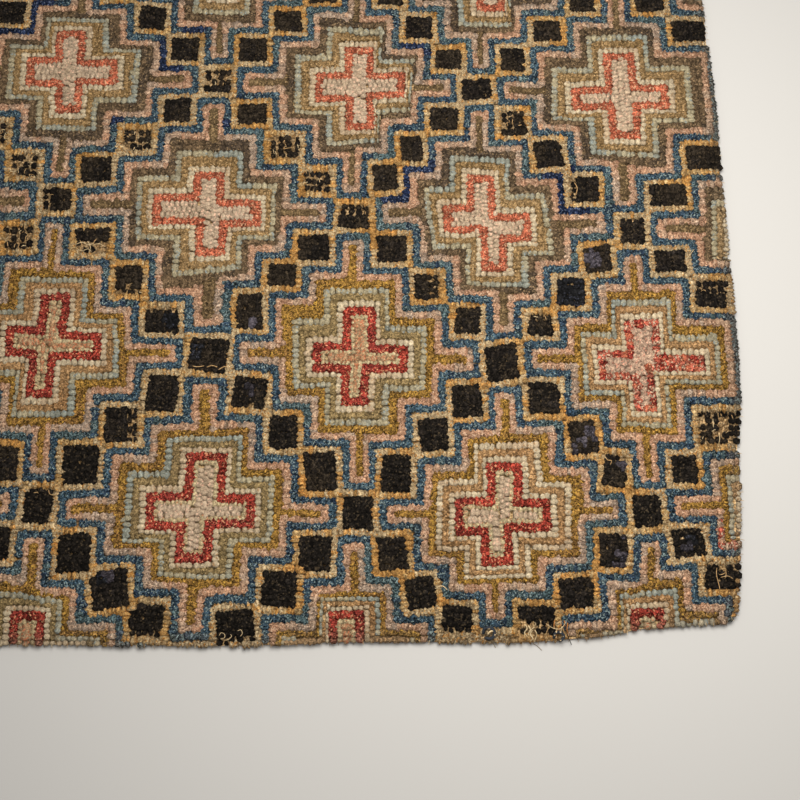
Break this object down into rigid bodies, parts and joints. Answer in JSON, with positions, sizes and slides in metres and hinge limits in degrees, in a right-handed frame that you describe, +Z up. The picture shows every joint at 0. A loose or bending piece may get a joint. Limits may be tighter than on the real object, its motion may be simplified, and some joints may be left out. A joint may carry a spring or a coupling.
{
  "type": "hooked rug",
  "caption": "Flat rectangular hooked rug: wool loops on a burlap ground, with a lattice of black squares around stepped-cross medallions.",
  "frame": {"origin": "middle of the rug's bounding box, on the floor under it", "axes": "+X along the rug's length, +Y across it, away from the pictured front edge, +Z up out of the pile"},
  "size_m": [0.914, 0.61, 0.008],
  "materials": {
    "hooked_wool": "matte wool loops in blue, gold, pink, cream, olive, red and black, on tan burlap"
  },
  "bodies": {
    "root": {"hooked_rug": "hooked_wool"}
  },
  "joints": []
}
